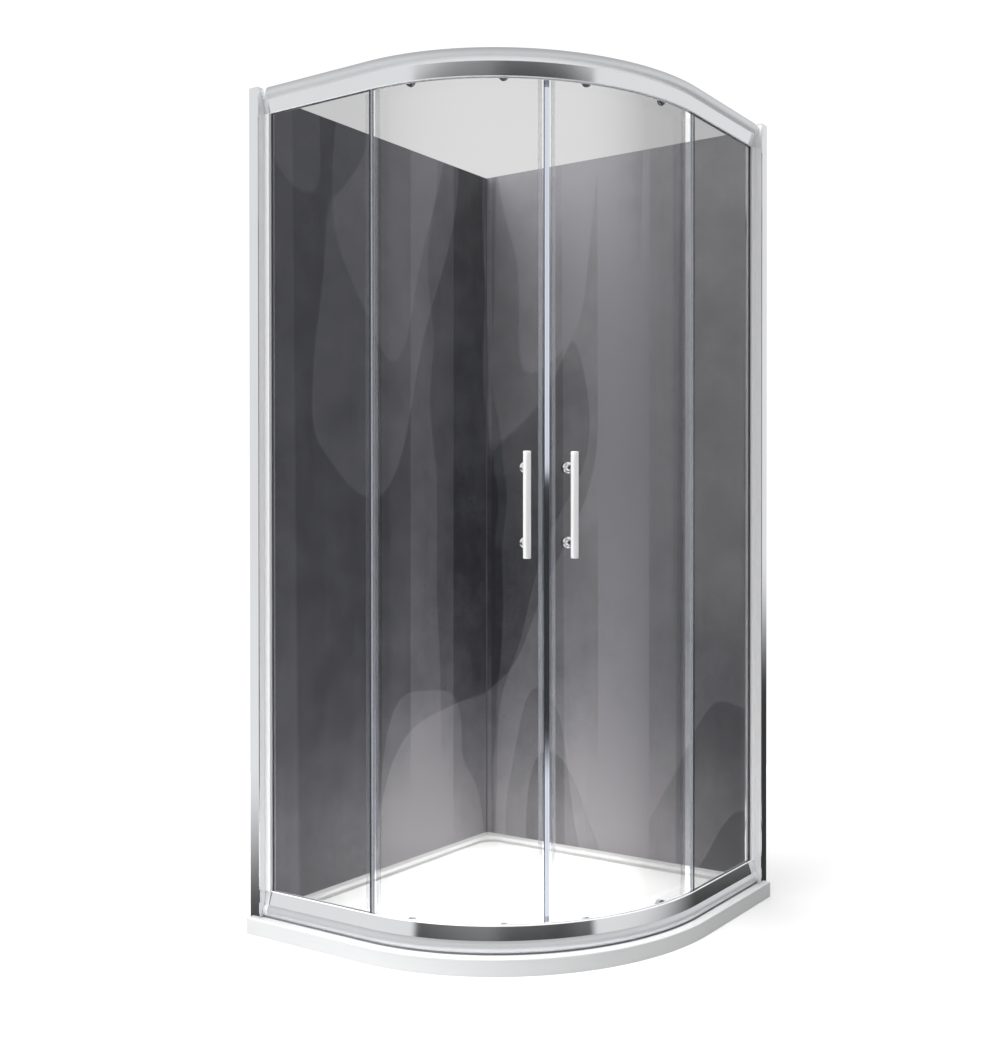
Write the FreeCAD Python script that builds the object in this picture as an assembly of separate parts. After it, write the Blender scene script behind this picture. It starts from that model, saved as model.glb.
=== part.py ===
import FreeCAD
import Part
import os
from math import cos, degrees, pi, radians, sin, sqrt

# Corner shower cabin with a bowed front, in millimetres, +Z up.
# The origin is in the middle of the tray's square, on the floor. The two back panels meet at the
# corner (-X, +Y), and the bowed front with its two sliding doors faces (+X, -Y).
# An inset is a distance inwards from the tray's outer edge, square to it.

V = FreeCAD.Vector
UP = V(0, 0, 1)

# Plan and heights
side = 900.0
bend_radius = 550.0
tray_height = 38.0
enclosure_height = 1900.0

# Sides of the small forms that have flats in place of a round face
square = 4
hexagon = 6
octagon = 8

# Tray
front_rim = 76.0
wall_rim = 34.0
basin_corner = 45.0
tray_edge_round = 4.0
basin_chamfer = 3.0
floor_level_edge = 30.0
floor_level_drain = 22.0
drain_from_front = 190.0
drain_recess_radius = 60.0
drain_recess_depth = 4.0
drain_hole_radius = 45.0
trap_relief_radius = 75.0
trap_relief_depth = 8.0

# Drain cover
cover_play = 2.0
cover_thickness = 3.0
cover_rim_height = 3.0
cover_wall = 2.5
cover_chamfer = 1.5
cover_slot_width = 5.0
cover_slot_length = 40.0
cover_slots = 6
cover_slot_start = 12.0
cover_notch_width = 20.0
cover_notches = 4

# Back panels and their trim
panel_setback = 10.0
panel_thickness = 10.0
panel_lift = 6.0
panel_top_drop = 9.0
corner_leg = 40.0
corner_wall = 3.0

# Wall posts and glass posts
post_inset = 10.0
post_width = 38.0
post_depth = 30.0
post_wall = 2.0
post_round = 3.0
post_play = 0.3
post_nose = 16.0
post_tail = 20.0
nose_width = 17.0
groove_depth = 12.0
groove_play = 0.2
cap_thickness = 2.0
cap_plug = 8.0
wall_hole_radius = 3.0
wall_hole_low = 300.0
wall_hole_spacing = 1300.0
gasket_width = 2.2
gasket_lip = 2.5
gasket_play = 0.2

# Rails, drawn as one section with its rounded bead at the outer end
rail_inset = 20.0
rail_depth = 29.0
rail_wall = 2.0
bead_height = 28.0
bead_swell = 6.0
band_lean = 5.0
lip_wall = 2.5
lip_chamfer = 1.2
chamber_height = 17.0
chamber_skin = 2.5
pocket_depth = 12.0
bracket_length = 14.0
tongue_length = 20.0
tongue_play = 1.5
screw_head_radius = 4.0
screw_head = 3.0

# Glass
glass = 5.0
glass_play = 0.5
glass_end_gap = 1.5
fixed_past_bend = 6.0
edge_seal_wall = 1.2
edge_seal_grip = 8.0
edge_seal_play = 0.2
seal_end_gap = 0.3

# Doors
door_gap = 12.0
door_tail = 10.0
door_overhang = 18.0
door_meeting = 0.4
stud_hole_play = 0.1
magnet_nose = 10.0
magnet_grip = 8.0
magnet_wall = 2.2
fin_root = 3.0
fin_thickness = 1.6
fin_sweep = 9.0
fin_end_gap = 3.0
clip_end_gap = 2.0
fin_clear = 1.5

# Rollers
wheel_radius = 11.0
wheel_width = 6.0
wheel_headroom = 2.0
wheel_side_play = 0.3
wheel_sway = 5.2
axle_radius = 2.5
axle_play = 0.05
rear_roller_angle = 9.4
front_roller_angle = 34.2
boss_radius = 7.0
neck_radius = 5.0
stud_radius = 3.0
stud_reach = 4.0
stud_play = 0.05
pad_gap = 0.45
cap_width = 22.0
cap_height = 42.0
cap_depth = 6.0
cap_corner = 6.5
dial_radius = 7.0
dial_height = 2.5
dial_slot = 1.6
guide_depth = 11.0
button_radius = 5.0
button_play = 0.1
button_rise = 10.0
button_proud = 4.0
button_chamfer = 0.8
button_grip = 3.0
button_travel = 3.0
button_end_gap = 0.3
stop_length = 12.0
stop_height = 12.0
stop_play = 0.5
stop_from_bracket = 149.0

# Handles
handle_angle = 39.6
handle_length = 225.0
handle_radius = 8.5
handle_reach = 50.0
handle_height = 982.0
handle_spacing = 160.0
handle_post_radius = 5.5
rosette_radius = 12.5
rosette_height = 3.0
handle_stud_radius = 4.0
handle_stud_reach = 5.0
handle_cap_depth = 7.0

# Places worked out from the sizes
half = side / 2
straight = side - bend_radius
bend = V(-half + straight, half - straight, 0)
total_height = tray_height + enclosure_height
wheel_space = 2 * wheel_radius + wheel_headroom
track_level = 2 * rail_wall + chamber_height
plate_level = track_level + wheel_space
pocket_level = plate_level + rail_wall
rail_height = pocket_level + pocket_depth
rail_back = rail_inset + rail_depth
pocket_inset = rail_inset + bead_swell + band_lean + lip_wall
pocket_width = glass + 2 * glass_play
fixed_inset = pocket_inset + glass_play
nose_inset = pocket_inset + pocket_width / 2 - nose_width / 2
lower_rail_top = tray_height + rail_height
upper_rail_base = total_height - rail_height
door_inset = rail_back + door_gap
door_outer = bend_radius - door_inset
door_inner = door_outer - glass
door_middle = door_outer - glass / 2
top_axis = total_height - plate_level + wheel_radius
bottom_axis = tray_height + track_level + wheel_radius
door_base = bottom_axis - door_overhang
door_top = top_axis + door_overhang
wheel_outer_inset = pocket_inset + wheel_sway
wheel_inner_inset = wheel_outer_inset + wheel_width
post_back = post_inset + post_width
post_face = -half + post_depth
nose_end = post_face + post_nose
panel_base = tray_height + panel_lift
panel_top = total_height - panel_top_drop
panel_face = panel_setback + panel_thickness
drain = bend + V(sin(pi / 4), -sin(pi / 4), 0) * (bend_radius - drain_from_front)
fall_reach = side


class Outline:
    """A closed outline of lines and arcs; place(a, b) puts its flat points in space."""

    def __init__(self, place, *start):
        self.place = place
        self.first = start
        self.last = start
        self.edges = []

    def line(self, *points):
        for point in points:
            self.edges.append(Part.LineSegment(self.place(*self.last), self.place(*point)).toShape())
            self.last = point
        return self

    def arc(self, through, end):
        points = [self.place(*p) for p in (self.last, through, end)]
        self.edges.append(Part.Arc(*points).toShape())
        self.last = end
        return self

    def wire(self):
        if self.last != self.first:
            self.line(self.first)
        return Part.Wire(self.edges)

    def face(self):
        return Part.Face(self.wire())


def flat(x, y):
    return V(x, y, 0)


def plate(points, low, high):
    """An upright prism on straight-sided plan points."""
    face = Outline(flat, *points[0]).line(*points[1:]).face()
    face.translate(UP * low)
    return face.extrude(UP * (high - low))


def block(x, y, z):
    """A box from its three ranges."""
    return Part.makeBox(x[1] - x[0], y[1] - y[0], z[1] - z[0], V(x[0], y[0], z[0]))


def join(*solids):
    """Solids that touch, as one."""
    whole = solids[0].fuse(list(solids[1:]))
    return whole.removeSplitter()


def mirrored(shape):
    """The same piece on the other side of the cabin's diagonal."""
    return shape.mirror(V(0, 0, 0), V(1, 1, 0))


def polar(radius, angle):
    """A plan point on a circle about the bend's centre, the angle from +X."""
    return bend + V(radius * cos(radians(angle)), radius * sin(radians(angle)), 0)


def along(length):
    """The angle of a length along the door's middle line, from the left end of the bend."""
    return -90 + degrees(length / door_middle)


def sector(inner, outer, start, end, low, high):
    """An upright curved wall about the bend's centre, between two angles."""
    middle = (start + end) / 2
    edges = [
        Part.Arc(polar(outer, start), polar(outer, middle), polar(outer, end)).toShape(),
        Part.LineSegment(polar(outer, end), polar(inner, end)).toShape(),
        Part.Arc(polar(inner, end), polar(inner, middle), polar(inner, start)).toShape(),
        Part.LineSegment(polar(inner, start), polar(outer, start)).toShape(),
    ]
    face = Part.Face(Part.Wire(edges))
    face.translate(UP * low)
    return face.extrude(UP * (high - low))


def many_sided(sides, radius, start, end):
    """A bar along the X axis with flat sides, each at the radius from the axis."""
    corner = radius / cos(pi / sides)

    def upright(index):
        angle = pi * (2 * index + 1) / sides
        return V(start, corner * cos(angle), corner * sin(angle))

    points = [upright(index) for index in range(sides + 1)]
    return Part.Face(Part.makePolygon(points)).extrude(V(end - start, 0, 0))


def turned(profile):
    """A solid turned about the X axis from (x, radius) points."""
    face = Outline(flat, *profile[0]).line(*profile[1:]).face()
    return face.revolve(V(0, 0, 0), V(1, 0, 0), 360)


def on_door(shape, angle, height):
    """Moves a piece from the X axis, X being the distance from the bend's centre, to its place."""
    piece = shape.copy()
    piece.rotate(V(0, 0, 0), UP, angle)
    piece.translate(bend + UP * height)
    return piece


# Tray and drain cover


def tray_outline(front, wall, low, high, corner=0.0):
    """The tray's plan, drawn in by one inset at the front and another at the walls."""
    left, back = -half + wall, half - wall
    near, right = -half + front, half - front
    radius = bend_radius - front
    middle = polar(radius, -45)
    drawing = Outline(flat, left, near).line((bend.x, near))
    drawing.arc((middle.x, middle.y), (right, bend.y)).line((right, back), (left, back))
    solid = drawing.face().extrude(UP * (high - low))
    solid.translate(UP * low)
    if corner:
        uprights = [(left, near), (right, back), (left, back)]
        solid = solid.makeFillet(corner, [edge_at(solid, x, y) for x, y in uprights])
    return solid


def edge_at(solid, x, y):
    """The upright edge of a prism at a plan point."""
    for edge in solid.Edges:
        ends = [vertex.Point for vertex in edge.Vertexes]
        if all(abs(p.x - x) < 1e-6 and abs(p.y - y) < 1e-6 for p in ends):
            return edge
    raise ValueError("no upright edge there")


def level_edges(solid, level):
    """The edges of a solid that lie at one height."""
    found = []
    for edge in solid.Edges:
        box = edge.BoundBox
        if abs(box.ZMin - level) < 1e-6 and abs(box.ZMax - level) < 1e-6:
            found.append(edge)
    return found


def cylinder(radius, low, high, centre):
    return Part.makeCylinder(radius, high - low, centre + UP * low)


def shower_tray():
    body = tray_outline(0, 0, 0, tray_height)
    body = body.makeFillet(tray_edge_round, level_edges(body, tray_height))
    above = tray_outline(front_rim, wall_rim, floor_level_drain, 2 * tray_height, basin_corner)
    fall = Part.makeCone(drain_recess_radius, fall_reach, floor_level_edge - floor_level_drain,
                         drain + UP * floor_level_drain)
    clear = cylinder(fall_reach, floor_level_edge, 2 * tray_height, drain)
    body = body.cut(above.common(fall.fuse(clear)))
    body = body.makeChamfer(basin_chamfer, basin_edges(body))
    recess_floor = floor_level_drain - drain_recess_depth
    body = body.cut(cylinder(drain_recess_radius, recess_floor, tray_height, drain))
    body = body.cut(cylinder(drain_hole_radius, 0, tray_height, drain))
    return body.cut(cylinder(trap_relief_radius, 0, trap_relief_depth, drain))


def basin_edges(body):
    """The rim's inner edges, where the basin drops away."""
    return [e for e in level_edges(body, tray_height) if not on_plan_edge(e)]


def on_plan_edge(edge):
    """True for the edges that the outer rounding leaves round the top of the tray."""
    point = edge.valueAt((edge.FirstParameter + edge.LastParameter) / 2)
    inset = min(half - abs(point.x), half - abs(point.y))
    if point.x > bend.x and point.y < bend.y:
        inset = bend_radius - point.distanceToPoint(bend + UP * point.z)
    return inset < tray_edge_round + 1e-3


def drain_cover():
    radius = drain_recess_radius - cover_play
    seat = floor_level_drain - drain_recess_depth
    top = seat + cover_rim_height + cover_thickness
    lid = cylinder(radius, seat, top, drain)
    lid = lid.makeChamfer(cover_chamfer, level_edges(lid, top))
    lid = lid.cut(cylinder(radius - cover_wall, seat, seat + cover_rim_height, drain))
    slot = Part.makeBox(cover_slot_length, cover_slot_width, tray_height)
    slot.translate(drain + V(cover_slot_start, -cover_slot_width / 2, seat))
    notch = Part.makeBox(radius, cover_notch_width, cover_rim_height)
    notch.translate(drain + V(cover_slot_start, -cover_notch_width / 2, seat))
    for cut, count in ((slot, cover_slots), (notch, cover_notches)):
        for index in range(count):
            turn = cut.copy()
            turn.rotate(drain, UP, 360 * index / count)
            lid = lid.cut(turn)
    return lid


# Back panels, their corner angle and base seals


def back_panels():
    outer = -half + panel_setback
    inner = -half + panel_face
    end = -half + post_back + post_play
    left = block((outer, inner), (end, -outer), (panel_base, panel_top))
    right = block((inner, -end), (-inner, -outer), (panel_base, panel_top))
    return left, right


def panel_base_seals():
    outer = -half + panel_setback
    inner = -half + panel_face
    end = -half + post_back + groove_depth
    left = block((outer, inner), (end, -outer), (tray_height, panel_base))
    right = block((inner, -end), (-inner, -outer), (tray_height, panel_base))
    return Part.makeCompound([left, right])


def rear_corner_angle():
    outer = -half + panel_setback
    back = outer - corner_wall
    leg = back + corner_leg
    points = [(back, -back), (back, -leg), (outer, -leg), (outer, -outer), (leg, -outer), (leg, -back)]
    return plate(points, tray_height, panel_top)


# Wall posts, glass posts and what they hold, drawn for the left side


def post_plan(x, inset):
    return V(x, -half + inset, 0)


def wall_post():
    """A channel that stands on the tray, with a groove at its back for the panel's edge."""
    back = -half
    channel = Outline(post_plan, back, post_inset + post_round)
    middle = post_round * (1 - sqrt(0.5))
    channel.arc((back + middle, post_inset + middle), (back + post_round, post_inset))
    channel.line((post_face, post_inset), (post_face, post_inset + post_wall))
    channel.line((back + post_wall, post_inset + post_wall), (back + post_wall, post_back - post_wall))
    channel.line((post_face, post_back - post_wall), (post_face, post_back))
    panel_outer = back + panel_setback - groove_play
    panel_inner = back + panel_face + groove_play
    fin_end = post_back + groove_depth
    channel.line((panel_inner + post_wall, post_back), (panel_inner + post_wall, fin_end))
    channel.line((panel_inner, fin_end), (panel_inner, post_back), (panel_outer, post_back))
    channel.line((panel_outer, fin_end), (panel_outer - post_wall, fin_end))
    channel.line((panel_outer - post_wall, post_back), (back, post_back))
    face = channel.face()
    face.translate(UP * tray_height)
    post = face.extrude(UP * (enclosure_height - cap_thickness))
    middle_inset = -half + post_inset + post_width / 2
    for height in (wall_hole_low, wall_hole_low + wall_hole_spacing):
        start = V(back - post_wall, middle_inset, height)
        post = post.cut(Part.makeCylinder(wall_hole_radius, 3 * post_wall, start, V(1, 0, 0)))
    return post


def post_cap():
    base = total_height - cap_thickness
    low_inset = -half + post_inset
    high_inset = -half + post_back
    wall = post_wall + post_play
    lid = block((-half, post_face), (low_inset, high_inset), (base, total_height))
    lid = lid.makeFillet(post_round, [edge_at(lid, -half, low_inset)])
    across = (low_inset + wall, high_inset - wall)
    plug = block((-half + wall, post_face - wall), across, (base - cap_plug, base))
    return join(lid, plug)


def glass_post():
    """A profile nested in the channel, with a nose that takes the fixed pane's edge."""
    low = post_inset + post_wall + post_play
    high = post_back - post_wall - post_play
    tail = post_face - post_tail
    bridge = post_face - post_wall
    pocket_end = pocket_inset + pocket_width
    pocket_floor = post_face + post_wall
    nose_high = nose_inset + nose_width
    points = [
        (tail, low), (post_face, low), (post_face, nose_inset), (nose_end, nose_inset),
        (nose_end, pocket_inset), (pocket_floor, pocket_inset), (pocket_floor, pocket_end),
        (nose_end, pocket_end), (nose_end, nose_high), (post_face, nose_high), (post_face, high),
        (tail, high), (tail, high - post_wall), (bridge, high - post_wall),
        (bridge, low + post_wall), (tail, low + post_wall),
    ]
    face = Outline(post_plan, *points[0]).line(*points[1:]).face()
    face.translate(UP * lower_rail_top)
    return face.extrude(UP * (upper_rail_base - lower_rail_top))


def post_gaskets():
    """Two soft lips on the nose, one on each side of the pane."""
    outer = fixed_inset - gasket_play
    inner = fixed_inset + glass + gasket_play
    strips = []
    for low in (outer - gasket_width, inner):
        x = (nose_end, nose_end + gasket_lip)
        y = (-half + low, -half + low + gasket_width)
        strips.append(block(x, y, (lower_rail_top, upper_rail_base)))
    return strips


def fixed_pane():
    x = (post_face + post_wall + glass_play, bend.x + fixed_past_bend)
    y = (-half + fixed_inset, -half + fixed_inset + glass)
    z = (tray_height + pocket_level, total_height - pocket_level - glass_end_gap)
    return block(x, y, z)


def fixed_edge_seal():
    """A clear clip over the fixed pane's free edge."""
    edge = bend.x + fixed_past_bend + edge_seal_play
    end = edge + edge_seal_wall
    back = edge - edge_seal_grip
    pane_low = fixed_inset - edge_seal_play
    pane_high = fixed_inset + glass + edge_seal_play
    low = pane_low - edge_seal_wall
    high = pane_high + edge_seal_wall
    points = [
        (back, low), (end, low), (end, high), (back, high), (back, pane_high), (edge, pane_high),
        (edge, pane_low), (back, pane_low),
    ]
    face = Outline(post_plan, *points[0]).line(*points[1:]).face()
    face.translate(UP * (lower_rail_top + seal_end_gap))
    return face.extrude(UP * (upper_rail_base - lower_rail_top - 2 * seal_end_gap))


# Rails and their end brackets


def bead_inset(level, skin=0.0):
    """How far the bead's face, or a skin below it, lies from the tray's edge at a level."""
    middle = bead_height / 2
    radius = (middle ** 2 + bead_swell ** 2) / (2 * bead_swell)
    return rail_inset + radius - sqrt((radius - skin) ** 2 - (level - middle) ** 2)


def rail_front(place):
    """The rail's shared outline from its back corner, round the bead and band, to the pocket."""
    band_end = pocket_inset - lip_wall
    pocket_end = pocket_inset + pocket_width
    front = Outline(place, rail_back, 0.0).line((bead_inset(0), 0.0))
    front.arc((rail_inset, bead_height / 2), (bead_inset(bead_height), bead_height))
    front.line((band_end, rail_height - lip_chamfer), (band_end + lip_chamfer / 2, rail_height))
    front.line((pocket_inset, rail_height), (pocket_inset, pocket_level), (pocket_end, pocket_level))
    front.line((pocket_end, rail_height), (pocket_end + rail_wall, rail_height))
    return front.line((pocket_end + rail_wall, pocket_level), (rail_back, pocket_level))


def rail_section(place):
    """A pane pocket, an open track for the wheels and a closed chamber in one section."""
    outer = rail_front(place)
    outer.line((rail_back, plate_level), (pocket_inset, plate_level), (pocket_inset, track_level))
    outer.line((rail_back, track_level))
    ceiling = track_level - rail_wall
    chamber = Outline(place, rail_back - rail_wall, rail_wall)
    chamber.line((bead_inset(rail_wall, chamber_skin), rail_wall))
    chamber.line((bead_inset(ceiling, chamber_skin), ceiling), (rail_back - rail_wall, ceiling))
    return Part.makeFace([outer.wire(), chamber.wire()], "Part::FaceMakerBullseye")


def rail(height):
    """A rail bent along the front: a straight end, the bend and the other straight end."""
    start = post_face + bracket_length

    def at_left(inset, level):
        return V(start, -half + inset, height(level))

    def at_bend(inset, level):
        return V(bend.x, -half + inset, height(level))

    end = rail_section(at_left).extrude(V(bend.x - start, 0, 0))
    curve = rail_section(at_bend).revolve(bend, UP, 90)
    return join(end, curve, mirrored(end))


def upper(level):
    return total_height - level


def lower(level):
    return tray_height + level


def rail_bracket(height):
    """A solid end piece with the rail's outline and a tongue that goes into its chamber."""

    def at_post(inset, level):
        return V(post_face, -half + inset, height(level))

    piece = rail_front(at_post).face().extrude(V(bracket_length, 0, 0))
    start = post_face + bracket_length
    edge = bead_inset(rail_wall, chamber_skin) + tongue_play
    thin = rail_wall + tongue_play
    levels = sorted((height(thin), height(track_level - thin)))
    insets = (-half + edge, -half + rail_back - thin)
    tongue = block((start - tongue_play, start + tongue_length), insets, levels)
    return join(piece, tongue)


def bracket_screw(height):
    """The six-sided head of a screw on the bracket's inner face."""
    head = many_sided(hexagon, screw_head_radius, 0, screw_head)
    head.rotate(V(0, 0, 0), UP, 90)
    head.translate(V(post_face + bracket_length / 2, -half + rail_back, height(track_level + wheel_radius)))
    return head


def door_stop():
    """A rubber stop in the upper track, where the open door's rear wheel ends its run."""
    start = post_face + bracket_length + stop_from_bracket
    floor = upper(plate_level)
    insets = (-half + pocket_inset + stop_play, -half + rail_back - stop_play)
    return block((start, start + stop_length), insets, (floor, floor + stop_height))


# Door pieces, drawn for the left door


def door_angles():
    """Where the door's glass starts, at its tail, and ends, at the middle of the front."""
    lead = door_middle * pi / 4 - magnet_nose - door_meeting / 2
    return along(-door_tail), along(lead)


def roller_places():
    """Angle and height of the rear and front rollers, at the top and at the bottom."""
    rear = -90 + rear_roller_angle
    front = -90 + front_roller_angle
    return {"top_rear": (rear, top_axis), "top_front": (front, top_axis),
            "bottom_rear": (rear, bottom_axis), "bottom_front": (front, bottom_axis)}


def handle_places():
    angle = -90 + handle_angle
    offset = handle_spacing / 2
    return [(angle, handle_height - offset), (angle, handle_height + offset)]


def door_pane():
    pane = sector(door_inner, door_outer, *door_angles(), door_base, door_top)
    holes = [(place, neck_radius) for place in roller_places().values()]
    holes += [(place, handle_stud_radius) for place in handle_places()]
    for (angle, height), radius in holes:
        drill = many_sided(octagon, radius + stud_hole_play, door_inner - glass, door_outer + glass)
        pane = pane.cut(on_door(drill, angle, height))
    return pane


def edge_grip(edge, grip, nose, direction, play):
    """A clip round an upright edge of the curved pane, closed on the side of its nose."""
    step = degrees(1 / door_middle) * direction
    inside = door_inner - play
    outside = door_outer + play
    low, high = door_base + clip_end_gap, door_top - clip_end_gap
    back = edge - step * grip
    front = edge + step * nose
    start = edge + step * play
    shell_ends = sorted((back, front))
    channel_ends = sorted((back - step, start))
    shell = sector(inside - magnet_wall, outside + magnet_wall, *shell_ends, low, high)
    return shell.cut(sector(inside, outside, *channel_ends, low, high))


def magnet_seal():
    """The translucent strip on the leading edge, with its magnet in the nose."""
    edge = door_angles()[1]
    return edge_grip(edge, magnet_grip, magnet_nose, 1, edge_seal_play)


def fin_seal():
    """The strip on the tail edge, with a fin that reaches out to the fixed pane."""
    edge = door_angles()[0]
    clip = edge_grip(edge, magnet_grip, fin_root, -1, edge_seal_play)
    step = degrees(1 / door_middle)
    root = door_outer + edge_seal_play
    tip = bend_radius - fixed_inset - glass - edge_seal_play - edge_seal_wall - fin_clear
    near = edge
    far = edge - step * fin_sweep
    thick = step * fin_thickness
    corners = [polar(root, near), polar(tip, far), polar(tip, far - thick), polar(root, near - thick)]
    points = [(p.x, p.y) for p in corners]
    low, high = lower_rail_top + fin_end_gap, upper_rail_base - fin_end_gap
    return join(clip, plate(points, low, high))


def roller_stud():
    """A boss outside the glass, its neck in the glass, the wheel's axle and a square inner end."""
    wheel_face = bend_radius - wheel_inner_inset
    boss_end = wheel_face - wheel_side_play
    axle_end = wheel_face + wheel_width - wheel_side_play
    inner = many_sided(square, stud_radius, door_inner - stud_reach, door_inner)
    neck = many_sided(octagon, neck_radius, door_inner, door_outer)
    boss = many_sided(hexagon, boss_radius, door_outer, boss_end)
    axle = Part.makeCylinder(axle_radius, axle_end - boss_end, V(boss_end, 0, 0), V(1, 0, 0))
    return join(inner, neck, boss, axle)


def wheel():
    """A wheel about the X axis."""
    start = bend_radius - wheel_inner_inset
    end = start + wheel_width
    bore = axle_radius + axle_play
    return turned([(start, bore), (start, wheel_radius), (end, wheel_radius), (end, bore)])


def oblong(face, depth):
    """An upright plate on the door's inner side, with a square hole for the roller's stud."""
    slab = block((face - depth, face), (-cap_width / 2, cap_width / 2), (-cap_height / 2, cap_height / 2))
    corners = [e for e in slab.Edges if e.BoundBox.XLength > depth / 2]
    slab = slab.makeChamfer(cap_corner, corners)
    return slab.cut(many_sided(square, stud_radius + stud_play, door_inner - stud_reach, door_inner))


def hanger_cap():
    """The inner plate of an upper roller, with its slotted adjusting dial."""
    face = door_inner - pad_gap
    cap = oblong(face, cap_depth)
    front = face - cap_depth
    dial = many_sided(octagon, dial_radius, front - dial_height, front)
    slot = block((front - 2 * dial_height, front - dial_height / 2), (-dial_radius, dial_radius),
                 (-dial_slot / 2, dial_slot / 2))
    return join(cap, dial.cut(slot))


def guide_body():
    """The inner body of a lower roller, with the bore of its release button."""
    face = door_inner - pad_gap
    body = oblong(face, guide_depth)
    front = face - guide_depth
    bore_end = front + button_grip + button_travel + button_end_gap
    bore = many_sided(octagon, button_radius + button_play, front, bore_end)
    bore.translate(UP * button_rise)
    return body.cut(bore)


def release_button():
    front = door_inner - pad_gap - guide_depth
    button = many_sided(octagon, button_radius, front - button_proud, front + button_grip)
    button.translate(UP * button_rise)
    outer = [e for e in button.Edges if e.BoundBox.XMax < front - button_proud / 2]
    return button.makeChamfer(button_chamfer, outer)


def handle_bar():
    centre = door_outer + handle_reach
    bar = cylinder(handle_radius, -handle_length / 2, handle_length / 2, V(centre, 0, 0))
    return on_door(bar, -90 + handle_angle, handle_height)


def handle_post():
    """A rosette on the glass, the post that carries the bar and the stud through the glass."""
    end = door_outer + handle_reach
    profile = [
        (door_outer, 0), (door_outer, rosette_radius), (door_outer + rosette_height, rosette_radius),
        (door_outer + rosette_height, handle_post_radius), (end, handle_post_radius), (end, 0),
    ]
    stud = many_sided(octagon, handle_stud_radius, door_inner - handle_stud_reach, door_outer)
    return join(turned(profile), stud)


def handle_cap():
    face = door_inner - pad_gap
    cap = Part.makeCylinder(rosette_radius, handle_cap_depth, V(face - handle_cap_depth, 0, 0), V(1, 0, 0))
    stud = many_sided(octagon, handle_stud_radius + stud_play, door_inner - handle_stud_reach, door_inner)
    return cap.cut(stud)


def door_pieces():
    """Every piece of the left door by name."""
    rollers = roller_places()
    tops = [rollers["top_rear"], rollers["top_front"]]
    bottoms = [rollers["bottom_rear"], rollers["bottom_front"]]
    handles = handle_places()
    bar = handle_bar()
    group = Part.makeCompound
    pieces = {
        "door_glass": door_pane(),
        "magnet_seal": magnet_seal(),
        "fin_seal": fin_seal(),
        "handle_bar": bar,
        "handle_posts": group([on_door(handle_post(), *place).cut(bar) for place in handles]),
        "handle_caps": group([on_door(handle_cap(), *place) for place in handles]),
        "top_roller_studs": group([on_door(roller_stud(), *place) for place in tops]),
        "bottom_roller_studs": group([on_door(roller_stud(), *place) for place in bottoms]),
        "hanger_caps": group([on_door(hanger_cap(), *place) for place in tops]),
        "guide_bodies": group([on_door(guide_body(), *place) for place in bottoms]),
    }
    for name, place in rollers.items():
        pieces[name + "_wheel"] = on_door(wheel(), *place)
    for name, place in zip(("rear", "front"), bottoms):
        pieces[name + "_release_button"] = on_door(release_button(), *place)
    return pieces


# The whole cabin


def cabin():
    """Every node by name."""
    group = Part.makeCompound
    left_panel, right_panel = back_panels()
    nodes = {
        "shower_tray": shower_tray(),
        "drain_cover": drain_cover(),
        "back_panel_left": left_panel,
        "back_panel_right": right_panel,
        "panel_base_seals": panel_base_seals(),
        "rear_corner_angle": rear_corner_angle(),
        "top_rail": rail(upper),
        "bottom_rail": rail(lower),
    }
    pairs = {
        "wall_post": wall_post(),
        "glass_post": glass_post(),
        "fixed_glass": fixed_pane(),
        "fixed_edge_seal": fixed_edge_seal(),
        "top_rail_bracket": rail_bracket(upper),
        "bottom_rail_bracket": rail_bracket(lower),
    }
    for name, shape in pairs.items():
        nodes["left_" + name] = shape
        nodes["right_" + name] = mirrored(shape)
    for name, shape in door_pieces().items():
        nodes["left_" + name] = shape
        nodes["right_" + name] = mirrored(shape)
    groups = {
        "post_caps": [post_cap()],
        "post_gaskets": post_gaskets(),
        "bracket_screws": [bracket_screw(upper), bracket_screw(lower)],
        "door_stops": [door_stop()],
    }
    for name, shapes in groups.items():
        nodes[name] = group(shapes + [mirrored(shape) for shape in shapes])
    return nodes


def main():
    os.makedirs("parts", exist_ok=True)
    for name, shape in cabin().items():
        shape.exportStep(os.path.join("parts", name + ".step"))


main()
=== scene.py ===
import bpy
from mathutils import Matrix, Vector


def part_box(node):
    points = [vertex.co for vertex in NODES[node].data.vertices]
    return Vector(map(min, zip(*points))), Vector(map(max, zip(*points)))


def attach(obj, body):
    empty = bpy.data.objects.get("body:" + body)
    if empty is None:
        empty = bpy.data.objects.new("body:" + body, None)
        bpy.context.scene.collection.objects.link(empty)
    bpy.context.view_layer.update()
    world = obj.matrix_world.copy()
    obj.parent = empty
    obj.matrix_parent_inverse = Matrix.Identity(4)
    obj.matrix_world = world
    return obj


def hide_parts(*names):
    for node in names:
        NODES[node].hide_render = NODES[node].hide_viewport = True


bl_info = {
    "name": "Corner shower cabin",
    "version": (1, 0, 0),
    "blender": (4, 5, 0),
    "location": "3D View > Sidebar > Cabin",
    "description": "Dresses the packed model of a corner shower cabin with its finishes and its studio",
    "category": "Object",
}

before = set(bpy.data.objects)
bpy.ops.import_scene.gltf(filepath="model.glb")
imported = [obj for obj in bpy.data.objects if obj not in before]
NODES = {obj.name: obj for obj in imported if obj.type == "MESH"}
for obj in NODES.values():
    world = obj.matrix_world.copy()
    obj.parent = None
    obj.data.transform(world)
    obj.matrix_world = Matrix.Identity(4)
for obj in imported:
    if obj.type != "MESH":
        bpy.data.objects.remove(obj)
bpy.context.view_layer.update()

from math import asin, cos, pi, radians, sin

import bmesh
import bpy
from bmesh.types import BMFace, BMVert
from mathutils import Matrix, Vector

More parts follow.
